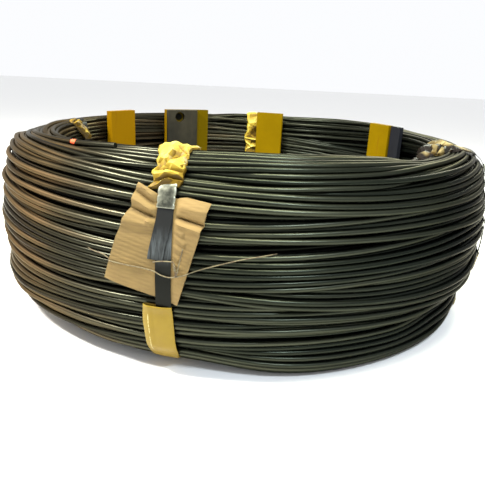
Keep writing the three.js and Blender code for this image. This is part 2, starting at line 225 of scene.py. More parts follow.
# ---------- shader maths ----------
class Value:
    """A number that changes over a surface. Arithmetic on it adds Math nodes."""

    def __init__(self, paint, socket):
        self.paint = paint
        self.socket = socket

    def maths(self, operation, *values):
        return self.paint.node("ShaderNodeMath", {"operation": operation}, values)

    def __add__(self, other):
        return self.maths("ADD", self, other)

    def __radd__(self, other):
        return self.maths("ADD", other, self)

    def __sub__(self, other):
        return self.maths("SUBTRACT", self, other)

    def __rsub__(self, other):
        return self.maths("SUBTRACT", other, self)

    def __mul__(self, other):
        return self.maths("MULTIPLY", self, other)

    def __rmul__(self, other):
        return self.maths("MULTIPLY", other, self)

    def __pow__(self, other):
        return self.maths("POWER", self, other)

    def between(self, low, high):
        """0 below low, 1 above high, and smooth in between."""
        inputs = {"Value": self, "From Min": low, "From Max": high}
        return self.paint.node("ShaderNodeMapRange", {"interpolation_type": "SMOOTHSTEP"}, inputs)


class Paint:
    """A material, with one method that adds any node to it."""

    def __init__(self, name):
        self.material = bpy.data.materials.new(name)
        self.material.use_nodes = True
        self.tree = self.material.node_tree
        self.shader = self.tree.nodes["Principled BSDF"]
        self.object_place = self.node("ShaderNodeTexCoord", {}, {}, "Object")

    def node(self, kind, settings, inputs, output=0):
        made = self.tree.nodes.new(kind)
        for name, setting in settings.items():
            if name == "stops":
                self.set_stops(made.color_ramp, setting)
            else:
                setattr(made, name, setting)
        named = inputs.items() if isinstance(inputs, dict) else enumerate(inputs)
        for key, value in named:
            self.feed(made.inputs[key], value)
        return Value(self, made.outputs[output])

    def feed(self, socket, value):
        if isinstance(value, Value):
            self.tree.links.new(value.socket, socket)
        else:
            socket.default_value = value

    def set_stops(self, ramp, stops):
        for extra in range(len(stops) - 2):
            ramp.elements.new(0.5)
        for element, (place, colour) in zip(ramp.elements, stops):
            element.position = place
            element.color = (*colour, 1)

    def stretched(self, scale):
        """The object's own coordinates, scaled, so that a pattern can run longer one way."""
        return self.node("ShaderNodeMapping", {}, {"Vector": self.object_place, "Scale": scale})

    def noise(self, scale, vector=None, detail=3.0, roughness=0.55, warp=0.0):
        inputs = {"Vector": vector or self.object_place, "Scale": scale, "Detail": detail,
                  "Roughness": roughness, "Distortion": warp}
        return self.node("ShaderNodeTexNoise", {}, inputs)

    def attribute(self, name):
        return self.node("ShaderNodeAttribute", {"attribute_name": name}, {}, "Fac")

    def split(self, vector):
        parts = self.node("ShaderNodeSeparateXYZ", {}, {"Vector": vector}).socket.node
        return [Value(self, parts.outputs[axis]) for axis in "XYZ"]

    def mix(self, part, first, second):
        """The first colour where part is 0 and the second where it is 1."""
        inputs = {0: part, 6: first, 7: second}
        for key in (6, 7):
            if isinstance(inputs[key], tuple):
                inputs[key] = (*inputs[key], 1)
        return self.node("ShaderNodeMix", {"data_type": "RGBA"}, inputs, 2)

    def finish(self, colour, roughness, metallic=0.0, height=None, depth=0.001, **plain):
        """Feeds the shader. Height and depth in metres raise a fine relief; plain holds plain values."""
        self.feed(self.shader.inputs["Base Color"], (*colour, 1) if isinstance(colour, tuple) else colour)
        self.feed(self.shader.inputs["Roughness"], roughness)
        self.feed(self.shader.inputs["Metallic"], metallic)
        for name, value in plain.items():
            self.shader.inputs[name.replace("_", " ")].default_value = value
        if height is not None:
            bump = self.node("ShaderNodeBump", {}, {"Height": height, "Distance": depth, "Strength": 1.0})
            self.feed(self.shader.inputs["Normal"], bump)
        return self.material

    def round_the_coil(self, along):
        """Coordinates that run along the turns: the scaled arc, the distance from the axis, the height."""
        x, y, z = self.split(self.object_place)
        arc_length = y.maths("ARCTAN2", y, x) * (OUTSIDE * along)
        distance = (x * x + y * y) ** 0.5
        return self.node("ShaderNodeCombineXYZ", {}, [arc_length, distance, z])

    def distance_from(self, spot):
        x, y, z = self.split(self.object_place)
        return ((x - spot[0]) ** 2 + (y - spot[1]) ** 2 + (z - spot[2]) ** 2) ** 0.5


# ---------- finishes ----------
OUTSIDE = 0.7  # the coil's outer radius
MARK = (-0.3743, -0.4791, 0.4560)  # where the free end's paint dab is
BAR_HOLE = (-0.259, 0.424, 0.4375)
FOLD_HIGHLIGHT_ACROSS = (0.9668, -0.2554)  # the way across the painted fold highlight on the front sleeve


def wire_paint(name, light=1.0):
    """Hot-rolled rod under a dark oiled scale, with bronze rust bloom in places, a painted warm reflection
    to the left and painted shade in the bore and to the lower right. Light below 1 dims it all as painted
    shade.
    """
    paint = Paint(name)
    turn = paint.attribute("turn")
    x, y, z = paint.split(paint.object_place)
    bore = 1 - ((x * x + y * y) ** 0.5).between(0.545, 0.580)
    lengthways = paint.round_the_coil(0.05)
    streaks = paint.noise(90, lengthways, 4, 0.6)
    patches = paint.noise(3.2, None, 4, 0.6, 0.4)
    # painted reflection: the scale is tinted warm towards the left, as if it reflected warm light, and
    # greener to the right; rust bloom also thins out to the right
    less_warm_reflection_and_rust = (x * 0.5 - y * 0.1).between(-0.30, 0.10)
    bloom = (patches * 0.6 + turn * 0.42 - less_warm_reflection_and_rust * 0.34 - bore * 0.12).between(0.36, 0.74)

    def tone(red, green, blue):
        return red * light, green * light, blue * light

    oiled = paint.mix(less_warm_reflection_and_rust, tone(0.024, 0.021, 0.014), tone(0.015, 0.018, 0.013))
    scaled = paint.mix(less_warm_reflection_and_rust, tone(0.056, 0.050, 0.033), tone(0.042, 0.046, 0.032))
    dark = paint.mix((streaks * 0.6 + turn * 0.5).between(0.35, 0.85), oiled, scaled)
    colour = paint.mix(bloom * 0.6, dark, tone(0.150, 0.096, 0.050))
    # painted shade: the turns inside the bore are darkened
    colour = paint.mix(bore * 0.38, colour, (0.006, 0.006, 0.004))
    # painted shade: the turns right of the middle and below the crest are darkened
    painted_shade_lower_right = x.between(0.04, 0.50) * (1 - z.between(0.38, 0.47))
    colour = paint.mix(painted_shade_lower_right * 0.52, colour, (0.006, 0.010, 0.010))
    rough = 0.21 + streaks * 0.12 + turn * 0.07 + bloom * 0.08
    grain = paint.noise(500, lengthways, 2)
    paint.finish(colour, rough, 0.85, grain, 0.00006, Specular_Tint=(0.40, 0.38, 0.33, 1))
    return paint


def marked_wire():
    """The same rod with a dab of orange-red paint near its cut end."""
    paint = wire_paint("marked_wire")
    ragged = paint.noise(260, None, 3) * 0.006
    dab = 1 - (paint.distance_from(MARK) + ragged).between(0.0105, 0.0130)
    shader = paint.shader.inputs
    colour = Value(paint, shader["Base Color"].links[0].from_socket)
    rough = Value(paint, shader["Roughness"].links[0].from_socket)
    paint.feed(shader["Base Color"], paint.mix(dab, colour, (0.72, 0.09, 0.03)))
    paint.feed(shader["Metallic"], 0.85 - dab * 0.85)
    paint.feed(shader["Roughness"], rough * (1 - dab) + dab * 0.5)
    return paint.material


def deep_shadow():
    paint = Paint("wire_core")
    grain = paint.noise(60, paint.round_the_coil(0.1), 2)
    colour = paint.mix(grain, (0.006, 0.006, 0.005), (0.014, 0.013, 0.010))
    return paint.finish(colour, 0.8, 0.3)


def strap_steel():
    paint = Paint("strap_steel")
    _, _, z = paint.split(paint.object_place)
    cloud = paint.noise(14, None, 3, 0.5)
    scratches = paint.noise(14, paint.stretched((14, 14, 0.8)), 3, 0.6)
    # painted sheen: a lighter blue-grey band about 0.26 to 0.35 m up stands in for a highlight
    painted_sheen = (z + cloud * 0.02).between(0.262, 0.292) * (1 - (z + cloud * 0.03).between(0.312, 0.352))
    # painted shade: the straps are darker below about 0.23 to 0.30 m
    colour = paint.mix(z.between(0.23, 0.30), (0.004, 0.0045, 0.0035), (0.018, 0.019, 0.019))
    colour = paint.mix(painted_sheen * scratches.between(0.25, 0.75), colour, (0.072, 0.083, 0.090))
    rough = 0.34 + scratches * 0.18
    return paint.finish(colour, rough, 0.6, scratches, 0.0002, Specular_Tint=(0.34, 0.34, 0.34, 1))


def seal_steel():
    paint = Paint("seal_steel")
    cloud = paint.noise(55, None, 4, 0.6)
    painted_edge_glint = paint.attribute("tone")
    colour = paint.mix(cloud.between(0.35, 0.7), (0.050, 0.053, 0.042), (0.21, 0.215, 0.165))
    # painted highlight: the seal is lightened where its tone attribute is high, at its edges and ends
    colour = paint.mix(painted_edge_glint, colour, (0.34, 0.35, 0.28))
    return paint.finish(colour, 0.30 + cloud * 0.2, 0.85, cloud, 0.0005)


FILM_STOPS = [  # from the darkest tone, painted shade in the hollows, to the palest, painted light on the ridges
    (0.0, (0.060, 0.034, 0.003)), (0.22, (0.140, 0.086, 0.007)), (0.45, (0.245, 0.172, 0.019)),
    (0.70, (0.375, 0.305, 0.050)), (1.0, (0.56, 0.52, 0.17)),
]


def sleeve_plastic():
    paint = Paint("sleeve_plastic")
    cloud = paint.noise(24, None, 3, 0.55)
    creases = paint.noise(110, None, 3, 0.6, 0.6)
    # painted light and shade: faces turned to the light and crumpled ridges are paler, hollows browner, with
    # random cloud
    fade_and_painted_light = paint.attribute("tone") + paint.attribute("facing") + cloud * 0.12 - 0.06
    colour = paint.node("ShaderNodeValToRGB", {"stops": FILM_STOPS}, {"Fac": fade_and_painted_light})
    x, y, z = paint.split(paint.object_place)

    # the bunch on the right is painted greyer and darker as shade, with a painted highlight along its crown
    # over painted shadow in its scalloped hollows
    right_bunch = x.between(0.35, 0.45) * z.between(0.36, 0.38)
    scallops = paint.noise(26, paint.stretched((1, 1, 0.2)), 1, 0.4)
    ragged = z + scallops * 0.09 - 0.045
    hollows = 1 - ragged.between(0.444, 0.456) * fade_and_painted_light.between(-0.35, -0.05)
    crown = ragged.between(0.455, 0.467)
    colour = paint.mix(right_bunch * fade_and_painted_light.between(-0.15, 0.20) * 0.75, colour, (0.120, 0.100, 0.050))
    colour = paint.mix(right_bunch * hollows, colour, (0.004, 0.002, 0.001))
    colour = paint.mix(right_bunch * crown * 0.55, colour, (0.30, 0.24, 0.11))

    # a pale line of painted highlight, standing in for a lit fold, runs down the front sleeve
    off = (x * FOLD_HIGHLIGHT_ACROSS[0] + y * FOLD_HIGHLIGHT_ACROSS[1] + cloud * 0.004 - 0.002) ** 2
    painted_fold_highlight = (1 - off.between(3e-7, 2e-6)) * z.between(0.05, 0.07) * (1 - z.between(0.145, 0.155))
    colour = paint.mix(painted_fold_highlight * creases.between(0.35, 0.6) * 0.8, colour, (0.50, 0.45, 0.22))
    rough = 0.36 + cloud * 0.12 + right_bunch * 0.2
    return paint.finish(colour, rough, 0.0, creases, 0.0004, Specular_IOR_Level=0.14)


def kraft_card():
    paint = Paint("kraft_card")
    cloud = paint.noise(9, None, 3)
    flutes = paint.noise(42, paint.stretched((0.5, 0.5, 6)), 2, 0.5)
    fibres = paint.noise(900, None, 2)
    colour = paint.mix(cloud.between(0.3, 0.7), (0.122, 0.078, 0.021), (0.176, 0.114, 0.034))
    colour = paint.mix(flutes.between(0.5, 0.72) * 0.4, colour, (0.105, 0.062, 0.017))
    return paint.finish(colour, 0.82, 0.0, flutes * 0.8 + fibres * 0.2, 0.0009)


def yellow_paint():
    """Worn paint, with painted light and shade that differ board by board, and painted shadow on the wide
    one behind the bar's hole.
    """
    paint = Paint("yellow_paint")
    x, _, _ = paint.split(paint.object_place)
    cloud = paint.noise(7, None, 4)
    streaks = paint.noise(26, paint.stretched((4, 4, 0.35)), 4, 0.6)
    rust = (streaks * 0.7 + cloud * 0.4).between(0.62, 0.76)
    colour = paint.mix(cloud.between(0.3, 0.7), (0.112, 0.070, 0.0002), (0.142, 0.088, 0.0003))
    # painted light and shade: boards left of the middle are darker, and the far-left board lighter and more
    # orange
    colour = paint.mix(1 - x.between(-0.10, 0.0), colour, (0.075, 0.050, 0.0002))
    colour = paint.mix(1 - x.between(-0.34, -0.28), colour, (0.155, 0.080, 0.0004))
    colour = paint.mix(rust * 0.7, colour, (0.11, 0.040, 0.003))
    # painted shadow seen through the bar's hole
    painted_hole_shadow = 1 - paint.distance_from(BAR_HOLE).between(0.017, 0.022)
    colour = paint.mix(painted_hole_shadow, colour, (0.004, 0.004, 0.003))
    return paint.finish(colour, 0.6 + rust * 0.3, 0.0, streaks, 0.0004, Specular_IOR_Level=0.02)


def dark_steel():
    paint = Paint("dark_steel")
    cloud = paint.noise(11, None, 4)
    mill = paint.noise(30, paint.stretched((5, 5, 0.4)), 3)
    colour = paint.mix(cloud.between(0.35, 0.7), (0.011, 0.010, 0.006), (0.027, 0.024, 0.014))
    colour = paint.mix(mill.between(0.6, 0.75) * 0.4, colour, (0.06, 0.035, 0.016))
    return paint.finish(colour, 0.45 + mill * 0.2, 0.6, mill, 0.0004)


def black_steel():
    paint = Paint("black_steel")
    cloud = paint.noise(15, paint.stretched((3, 3, 0.5)), 3)
    colour = paint.mix(cloud, (0.003, 0.004, 0.007), (0.009, 0.010, 0.014))
    return paint.finish(colour, 0.55 + cloud * 0.2, 0.2, cloud, 0.0003, Specular_IOR_Level=0.15)


def tie_steel():
    paint = Paint("tie_steel")
    cloud = paint.noise(120, None, 3)
    colour = paint.mix(cloud.between(0.42, 0.62), (0.125, 0.106, 0.056), (0.070, 0.046, 0.022))
    return paint.finish(colour, 0.5, 0.3, cloud, 0.0003)


materials = {
    "wire_steel": wire_paint("wire_steel").material,
    "strap_steel": strap_steel(),
    "sleeve_plastic": sleeve_plastic(),
    "kraft_card": kraft_card(),
    "yellow_paint": yellow_paint(),
    "dark_steel": dark_steel(),
    "black_steel": black_steel(),
    "tie_wire_steel": tie_steel(),
}
seal_finish = seal_steel()
# a copy of the rod's finish dimmed to 0.55 for the deepest layer: painted shade
painted_shade_inner_finish = wire_paint("inner_wire_steel_painted_shade", 0.55).material


# ---------- pieces ----------
def settle(piece, slot, *nodes, material=None):
    """A finished piece gets its finish, rides on the coil and stands for its CAD nodes."""
    piece.data.materials.clear()
    piece.data.materials.append(material or materials[slot])
    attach(piece, "root")
    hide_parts(*nodes)


def select_only(piece):
    bpy.ops.object.select_all(action="DESELECT")
    piece.select_set(True)
    bpy.context.view_layer.objects.active = piece


def mesh_piece(name, points, faces):
    mesh = bpy.data.meshes.new(name)
    mesh.from_pydata(points, [], faces)
    piece = bpy.data.objects.new(name, mesh)
    bpy.context.collection.objects.link(piece)
    return piece


def give_shade(piece, name, values):
    """Gives every point of a piece a number that its finish reads."""
    attribute = piece.data.attributes.new(name, "FLOAT", "POINT")
    attribute.data.foreach_set("value", np.ravel(values).astype(np.float32))


def grid_piece(name, places, closed_rows=False, closed_columns=False, tone=None):
    """A grid primitive whose points go to places[row, column]. Closed ways meet their own start."""
    if closed_rows:
        places = np.concatenate([places, places[:1]], 0)
    if closed_columns:
        places = np.concatenate([places, places[:, :1]], 1)
    rows, columns = places.shape[:2]
    bpy.ops.object.select_all(action="DESELECT")
    bpy.ops.mesh.primitive_grid_add(x_subdivisions=columns - 1, y_subdivisions=rows - 1, size=2)
    piece = bpy.context.object
    piece.name = piece.data.name = name
    piece.data.vertices.foreach_set("co", places.reshape(-1).astype(np.float32))
    piece.data.update()
    if tone is not None:
        give_shade(piece, "tone", tone)
    bpy.ops.object.mode_set(mode="EDIT")
    bpy.ops.mesh.select_all(action="SELECT")
    bpy.ops.mesh.remove_doubles(threshold=1e-6)
    bpy.ops.mesh.normals_make_consistent(inside=False)
    bpy.ops.object.mode_set(mode="OBJECT")
    bpy.ops.object.shade_smooth()
    return piece


def apply_modifier(piece, kind, **settings):
    select_only(piece)
    modifier = piece.modifiers.new(kind.lower(), kind)
    for name, setting in settings.items():
        setattr(modifier, name, setting)
    bpy.ops.object.modifier_apply(modifier=modifier.name)


# ---------- the wound wire ----------
WIRE_RADIUS = 6.2 * MM
STATIONS = 144  # places round the coil where every turn is settled
ROUNDS, QUICK_ROUNDS = 400, 150  # of settling
LAST_ROUNDS = 8  # these only push
PAIRING_ROUNDS = 16  # how many rounds a list of neighbours serves
KEPT_EARLY, KEPT_LATE = 0.97, 0.996  # how much of its shift a turn keeps from round to round
SHOVE, HOLD = 0.36, 0.6  # the shares of an overlap and of a breach that one round undoes
PITCHES = (14.8, 13.6, 13.6)  # room for each turn in the three outer layers, in millimetres
LAYER_DEPTH = 11.4 * MM
# each layer's sides to a tube and stations from ring to ring: the deepest shows least
LAYERS = (("turns_outer", 8, 1), ("turns_second", 6, 1), ("turns_third", 6, 2))
CORE_DEPTH = 52 * MM
# grooves between the main bundles, outside: height, how far it wanders, its phase in degrees, depth
HOLLOWS = ((70, 25, 65, 13), (208, 8, 120, 13), (360, 7, 20, 13), (286, 10, 200, 5), (136, 10, 300, 5))
HOLLOW_REACH = 40.0
BUNDLES, BUNDLE_WIDTHS = 40, (36, 105)  # the most there can be, and how wide they are in millimetres
RIPPLES = (5, 7, 9, 11, 13, 16, 20)  # smaller grooves round the section
RIPPLE_DEPTH = 4.5 * MM
DIPS = (-6 * MM, 12 * MM)  # how far out and in the turns may wander
ROVERS, ROVER_DEPTH, ROVER_WANDER = 7, 3 * MM, 34 * MM  # turns that wander over the others
STRAYS, STRAY_WANDER = 0.12, 14 * MM  # the share of the others that stray
WANDER = 3 * MM  # how far the rest do
SUNKEN, SUNKEN_DEPTH = 0.28, 6 * MM  # the share that lie deeper, and by how much
azimuths = np.arange(STATIONS) * 360 / STATIONS
turns_random = np.random.default_rng(7)


def waves(along, terms, reach, random):
    """Smooth wandering over the section and round the coil: how far sideways, and how far in."""
    turn = np.radians(azimuths)[:, None]
    sideways = np.zeros((STATIONS, len(along)))
    inwards = np.zeros((STATIONS, len(along)))
    for lobes, size, dip in terms:
        for twist in random.integers(-reach, reach + 1, 2):
            phase = 2 * np.pi * lobes * along / section.length + twist * turn + random.uniform(0, 2 * np.pi)
            sideways += size * np.sin(phase)
            inwards += dip * np.cos(phase)
    return sideways, inwards


def bundled(home, random):
    """Neighbouring turns that wander together as one bundle: how far sideways, and how far in."""
    turn = np.radians(azimuths)[:, None]
    edges = np.cumsum(random.uniform(*BUNDLE_WIDTHS, BUNDLES)) * MM
    bundle = np.searchsorted(edges, home)
    sideways = np.zeros((STATIONS, len(home)))
    inwards = np.zeros((STATIONS, len(home)))
    for beat, size in ((1, 9), (2, 8), (3, 4)):
        for field, reach in ((sideways, size), (inwards, 0.5 * size)):
            phases = random.uniform(0, 2 * np.pi, BUNDLES + 1)
            field += reach * MM * np.sin(beat * turn + phases[bundle])
    return sideways, inwards


def hollows(home):
    """The grooves between the main bundles. They wander in height and are shallow by the right strap."""
    inwards = np.zeros((STATIONS, len(home)))
    for height, wander, phase, depth in HOLLOWS:
        place = section.outside_at(height + wander * np.sin(np.radians(azimuths[:, None] + phase)))
        part = np.clip(np.abs(home - place) / (HOLLOW_REACH * MM), 0, 1)
        inwards += depth * MM * (0.5 + 0.5 * np.cos(np.pi * part))
    off = degrees_between(azimuths, SIDES["right"])[:, None]
    return inwards * (0.35 + 0.65 * smoothstep(off, 8, 26))


def away_from_straps():
    """0 where a strap holds the turns down and 1 between the straps."""
    free = np.ones(STATIONS)
    for azimuth in SIDES.values():
        free *= smoothstep(degrees_between(azimuths, azimuth), 4, 20)
    return free[:, None]


def laid_turns(random):
    """Where each turn would like to lie: (station, turn) places and how far each may stand out."""
    home, depth = [], []
    for layer, pitch in enumerate(PITCHES):
        inset = layer * LAYER_DEPTH
        number = int((section.length - 2 * np.pi * inset) / (pitch * MM))
        home += list((np.arange(number) + 0.5 * (layer % 2)) / number)
        depth += [WIRE_RADIUS + inset] * number
    home += list(random.uniform(0.2, 0.62, ROVERS))
    depth += [ROVER_DEPTH] * ROVERS
    home = np.array(home) * section.length
    depth = np.array(depth)
    number = len(home)
    turn = np.radians(azimuths)[:, None]

    ripples = [(lobes, 0.17 * section.length / lobes / (2 * np.pi), RIPPLE_DEPTH / lobes ** 0.5)
               for lobes in RIPPLES]
    drift, dips = waves(home, ripples, 2, random)
    sway, rise = bundled(home, random)
    drift += sway
    wander = np.where(random.random(number) < STRAYS, STRAY_WANDER, WANDER)
    wander[-ROVERS:] = ROVER_WANDER
    for beat in range(1, 5):
        drift += 0.6 * wander / beat * np.sin(beat * turn + random.uniform(0, 2 * np.pi, number))
    inwards = np.clip(dips + rise, *DIPS) * away_from_straps() + hollows(home)
    inwards += pushed_in(azimuths[:, None], home)
    sunken = np.where(random.random(number) < SUNKEN, SUNKEN_DEPTH, 0)
    uneven = sunken + random.uniform(-1.5, 1.5, number) * MM
    uneven = uneven + 2 * MM * np.sin(2 * turn + random.uniform(0, 2 * np.pi, number))
    places = section.at((home + drift) % section.length, depth + uneven + inwards)
    return places.astype(np.float32), -inwards.astype(np.float32), depth


def close_pairs(places, reach):
    """Numbers of the turns that are within reach of each other, station by station."""
    count = places.shape[1]
    upper = np.triu(np.ones((count, count), bool), 1)
    found = []
    for station, spots in enumerate(places):
        apart = spots[:, None] - spots[None]
        close = (np.square(apart).sum(-1) < reach ** 2) & upper
        found.append(np.argwhere(close) + station * count)
    return np.concatenate(found).T


def push_apart(flat, pairs):
    apart = flat[pairs[0]] - flat[pairs[1]]
    distance = np.sqrt(np.square(apart).sum(1))
    touching = np.nonzero(distance < 2 * WIRE_RADIUS)[0]
    apart, distance = apart[touching], np.maximum(distance[touching], 1e-6)
    shove = (SHOVE * (2 * WIRE_RADIUS - distance) / distance)[:, None] * apart
    for axis in (0, 1):
        flat[:, axis] += np.bincount(pairs[0][touching], shove[:, axis], len(flat))
        flat[:, axis] -= np.bincount(pairs[1][touching], shove[:, axis], len(flat))


def hold_in(flat, walls, allowance):
    """Keeps turns inside the outline, and no deeper than the core."""
    wall_points, wall_normals = walls
    out = flat @ wall_normals.T - (wall_normals * wall_points).sum(1)
    wall = out.argmax(1)
    out = out[np.arange(len(flat)), wall]
    over = np.maximum(out + WIRE_RADIUS - allowance, 0)
    under = np.maximum(-CORE_DEPTH - out, 0)
    flat += wall_normals[wall] * ((under - over) * HOLD)[:, None]


def evened(shoved, reaches, part):
    """Draws each turn's shift towards its own shift a few stations either way."""
    for reach in reaches:
        shoved += part * (np.roll(shoved, reach, 0) + np.roll(shoved, -reach, 0) - 2 * shoved)
    return shoved


def settled_turns(rounds):
    """Pushes the turns off each other until they lie side by side like real ones."""
    target, allowance, depth = laid_turns(turns_random)
    places = target.copy()
    coarse = Section(coil_outline(), 120)
    walls = coarse.points.astype(np.float32), coarse.normals.astype(np.float32)
    for step in range(rounds):
        late = step > 0.6 * rounds
        if step < rounds - LAST_ROUNDS:
            shoved = (places - target) * (KEPT_LATE if late else KEPT_EARLY)
            places = target + evened(shoved, (1, 3), 0.3)
        if step % PAIRING_ROUNDS == 0:
            pairs = close_pairs(places, 4 * WIRE_RADIUS)
        flat = places.reshape(-1, 2)
        push_apart(flat, pairs)
        if late or step % 2 == 0:
            hold_in(flat, walls, allowance.reshape(-1))
        places = flat.reshape(target.shape)
    return target + evened(places - target, (1, 1, 2), 0.25), depth


def tube_mesh(name, centres, sides, shade):
    """Closed tubes round the coil. centres is (tube, station, xyz); shade is one number a tube."""
    count, stations = centres.shape[:2]
    ahead = np.roll(centres, -1, 1) - np.roll(centres, 1, 1)
    ahead /= np.linalg.norm(ahead, axis=2, keepdims=True)
    side = np.cross(ahead, np.array([0, 0, 1.0]))
    side /= np.linalg.norm(side, axis=2, keepdims=True)
    up = np.cross(side, ahead)
    turn = np.arange(sides) * 2 * np.pi / sides
    ring = side[:, :, None] * np.cos(turn)[:, None] + up[:, :, None] * np.sin(turn)[:, None]
    points = (centres[:, :, None] + WIRE_RADIUS * ring).reshape(-1, 3)
    station = np.arange(stations)[:, None]
    corner = np.arange(sides)[None]
    here, there = station * sides, (station + 1) % stations * sides
    quad = np.stack([here + corner, here + (corner + 1) % sides,
                     there + (corner + 1) % sides, there + corner], -1).reshape(-1, 4)
    faces = (quad[None] + (np.arange(count) * stations * sides)[:, None, None]).reshape(-1, 4)
    piece = mesh_piece(name, points, faces)
    piece.data.shade_smooth()
    give_shade(piece, "turn", np.repeat(shade, stations * sides))
    return piece


def wind_the_coil():
    places, depth = settled_turns(ROUNDS)
    centres = in_space(places, azimuths[:, None]).transpose(1, 0, 2)
    shade = turns_random.random(len(depth))
    layer = np.minimum(depth / LAYER_DEPTH, 2.5).astype(int)
    for number, (name, sides, step) in enumerate(LAYERS):
        # the deepest layer wears the dimmed copy, painted shade
        finish = painted_shade_inner_finish if number == 2 else materials["wire_steel"]
        for part, chosen in enumerate(np.array_split(np.nonzero(layer == number)[0], 2)):
            tubes = tube_mesh(f"{name}_{part + 1}", centres[chosen, ::step], sides, shade[chosen])
            settle(tubes, "wire_steel", "wire_coil", material=finish)

    core = section.at(np.linspace(0, section.length, 60, endpoint=False), CORE_DEPTH - WIRE_RADIUS)
    around = np.arange(72) * 5.0
    solid = grid_piece("wire_core", in_space(core[None], around[:, None]), True, True)
    settle(solid, "wire_steel", "wire_coil", material=deep_shadow())


# ---------- shapes that lie over the turns ----------
MEAN_RADIUS = 0.68  # of the outside, near enough to tell how far the dents reach


def on_coil(side, along, across=0.0, lift=0.0):
    """Places at a strap, hugging the turns: metres along the section, millimetres across and off it."""
    turned = SIDES[side] + np.degrees(np.asarray(across) * MM / MEAN_RADIUS)
    points = section.at(along, pushed_in(turned, along) - np.asarray(lift) * MM)
    return in_space(points, SIDES[side] + np.degrees(np.asarray(across) * MM / points[..., 0]))


def through(stops, places):
    """Smooth values through given stops. Each stop is a place followed by its values."""
    stops = np.array(stops, float)
    knots, values = stops[:, 0], stops[:, 1:]
    slope = np.gradient(values, knots, axis=0)
    index = np.clip(np.searchsorted(knots, places) - 1, 0, len(knots) - 2)
    gap = (knots[index + 1] - knots[index])[:, None]
    t = (places - knots[index])[:, None] / gap
    rise = (t ** 3 - 2 * t ** 2 + t) * slope[index] + (t ** 3 - t ** 2) * slope[index + 1]
    return values[index] + (3 * t ** 2 - 2 * t ** 3) * (values[index + 1] - values[index]) + rise * gap


def creases(across, up, random, count, shortest, longest):
    """Flat facets between straight folds that run every way over a sheet, from about -0.5 to 0.5."""
    field = np.zeros(np.broadcast(across, up).shape)
    for _ in range(count):
        way, start, bend = random.uniform(0, 2 * np.pi, 3)
        span = random.uniform(shortest, longest)
        run = across * np.cos(way) + up * np.sin(way)
        side = up * np.cos(way) - across * np.sin(way)
        place = run / span + 0.12 * np.sin(side / span + bend) + start
        field += np.abs(2 * (place - np.floor(place)) - 1)
    return field / count - 0.5


def folded(folds, across, up):
    """Ridges and creases, listed one by one. Each has two ends, a half width and a height."""
    lift = np.zeros(np.broadcast(across, up).shape)
    for (x0, z0), (x1, z1), width, size in folds:
        run, rise = x1 - x0, z1 - z0
        part = ((across - x0) * run + (up - z0) * rise) / (run ** 2 + rise ** 2)
        within = smoothstep(part, -0.25, 0.1) * (1 - smoothstep(part, 0.9, 1.2))
        off = np.abs((up - z0) * run - (across - x0) * rise) / math.hypot(run, rise)
        lift += size * np.clip(1 - off / (1.7 * width), 0, 1) * within
    return lift


def thicken(piece, thickness, bevel=0.0):
    apply_modifier(piece, "SOLIDIFY", thickness=thickness, offset=0, use_even_offset=False)
    if bevel:
        apply_modifier(piece, "BEVEL", width=bevel, segments=1, limit_method="ANGLE")
    select_only(piece)
    bpy.ops.object.shade_smooth_by_angle(angle=math.radians(40))
    return piece


# ---------- straps, their loose ends and their seals ----------
STRAP_WIDTH = 32.0
STRAP_THICKNESS = 0.9
BARE_LIFT, CARD_LIFT = 1.4, 3.6  # how far a strap stands off the turns, and how much more on the card
CARD_SPAN = (162, 400)  # the heights between which the card lifts the front strap
SEAL_FOOT, SEAL_HEAD = 366.0, 411.0
SEAL_WALL = 1.1
NIPS = (0.2, 0.5, 0.8)  # where the seal is nipped, as parts of its length
TAIL_HEAD = SEAL_FOOT + 14
TAIL_FOOT = 268.0
TAIL_SLIP = 17.0  # how far the loose end has swung to one side at its tip
FOOT_SLIP, CREST_SLIP = 6.0, 13.0  # how far the front strap has slipped at its foot and over the top


def strap_lift(side, along):
    """How far the strap stands off the turns: more over the card."""
    lift = np.full(np.shape(along), BARE_LIFT)
    if side == "front":
        foot, head = section.outside_at(CARD_SPAN)
        onto = smoothstep(along, foot - 0.012, foot + 0.012)
        lift += CARD_LIFT * onto * (1 - smoothstep(along, head, head + 0.03))
    return lift


def strap_lean(side, along):
    """The front strap slips aside where it goes over the top, and a little at its foot."""
    if side != "front":
        return np.zeros(np.shape(along))
    head, crest, bore = (section.nearest(*spot) for spot in ((676, 404), (590, 450), (540, 330)))
    foot = -FOOT_SLIP * (1 - smoothstep(along, section.outside_at(40), section.outside_at(150)))
    return foot - CREST_SLIP * smoothstep(along, head, crest) * (1 - smoothstep(along, crest, bore))


def make_strap(side, random):
    """A closed loop round the winding, and the loose end that hangs out of its seal."""
    along = np.linspace(0, section.length, 240, endpoint=False)[:, None]
    columns = np.linspace(-0.5, 0.5, 5) * STRAP_WIDTH
    flutter = 0.25 * np.sin(along * 37 + random.uniform(0, 6.3)) * np.sin(along * 11)
    places = on_coil(side, along, columns + strap_lean(side, along), strap_lift(side, along) + flutter)
    loop = thicken(grid_piece(f"strap_{side}", places, closed_rows=True), STRAP_THICKNESS * MM, 0.0002)
    settle(loop, "strap_steel", f"strap_{side}")

    part = np.linspace(0, 1, 30)[:, None]
    height = TAIL_HEAD - part * (TAIL_HEAD - TAIL_FOOT)
    along = section.outside_at(height)
    slip = -TAIL_SLIP * smoothstep(part, 0.12, 1.15)
    rise = strap_lift(side, along) + 1.2 + (1.6 if side == "front" else 0.8) * part ** 3
    hang = -1.2 * smoothstep(-(columns + slip), 12, 34) * part
    places = on_coil(side, along, columns + slip, rise + hang)
    tail = thicken(grid_piece(f"strap_{side}_end", places), STRAP_THICKNESS * MM, 0.0002)
    settle(tail, "strap_steel", f"strap_{side}")


